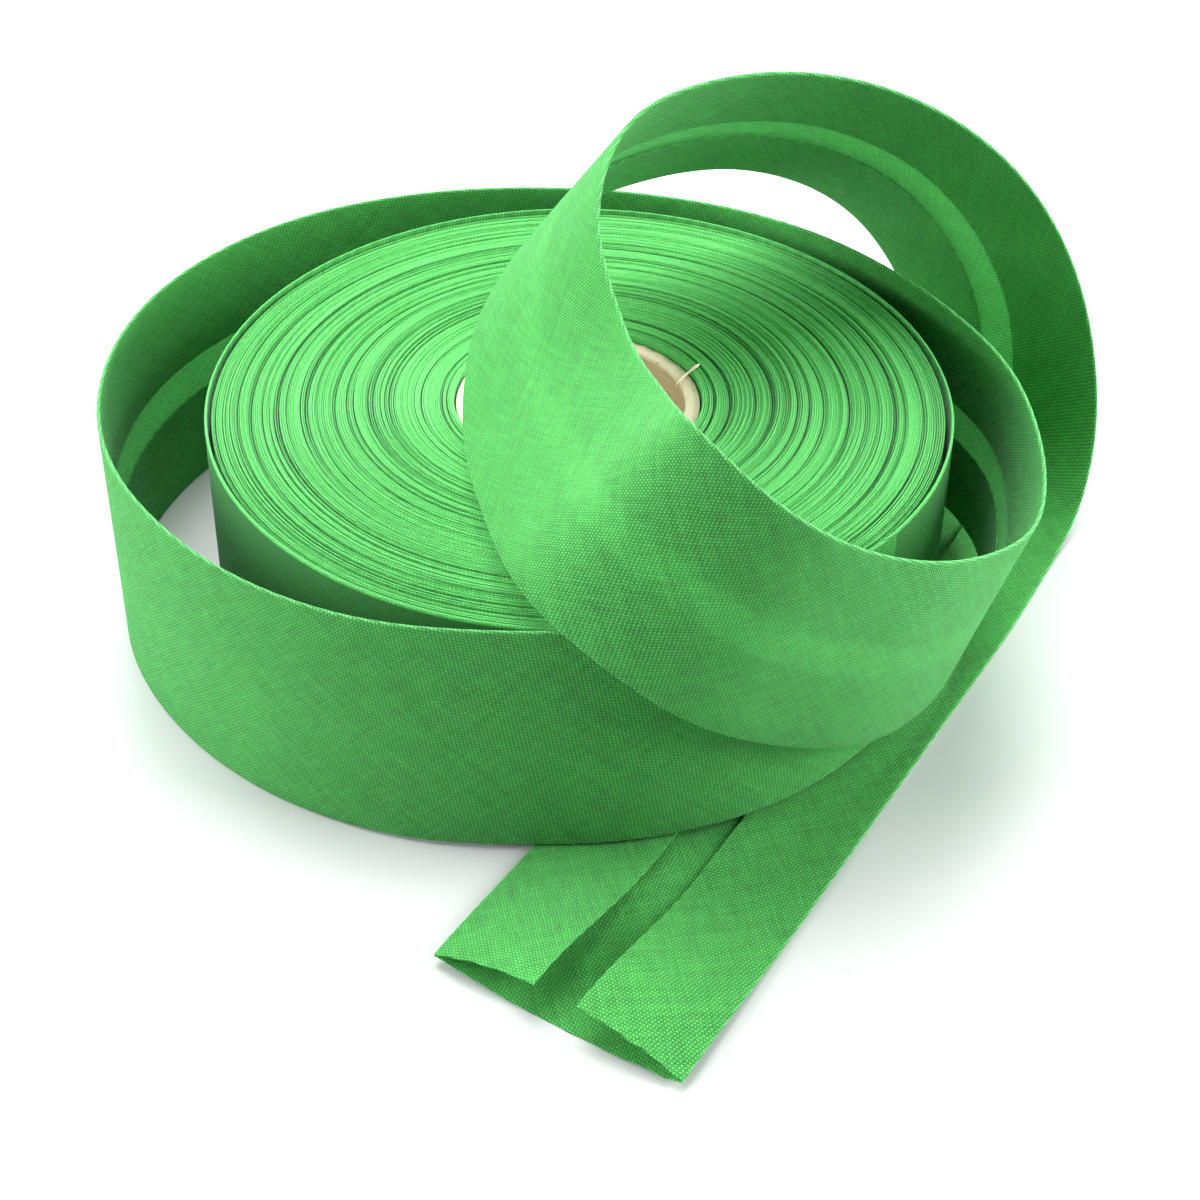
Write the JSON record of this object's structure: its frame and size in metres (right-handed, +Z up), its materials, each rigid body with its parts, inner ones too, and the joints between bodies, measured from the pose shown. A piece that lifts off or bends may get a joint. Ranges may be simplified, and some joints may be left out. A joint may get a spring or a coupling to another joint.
{
  "type": "roll of bias binding",
  "caption": "Wide folded cotton bias binding wound on a card core, lying on its side, with its outer end loosened into one large standing loop and a flat free tail.",
  "frame": {"origin": "the middle of the footprint of everything built, on the surface that the roll lies on", "axes": "+Z is up and is the way the roll's axis points; -Y is the side that the free tail runs out to, and +X the side that the big loop bulges to"},
  "size_m": [0.163, 0.1682, 0.0866],
  "materials": {
    "binding_cloth": "plain-woven cotton cut on the bias, matt, kelly green, with small slubs and open pinholes between the yarns",
    "core_card": null
  },
  "bodies": {
    "root": {"core_tube": "core_card", "wound_roll": "binding_cloth", "loose_tape": "binding_cloth"}
  },
  "joints": []
}
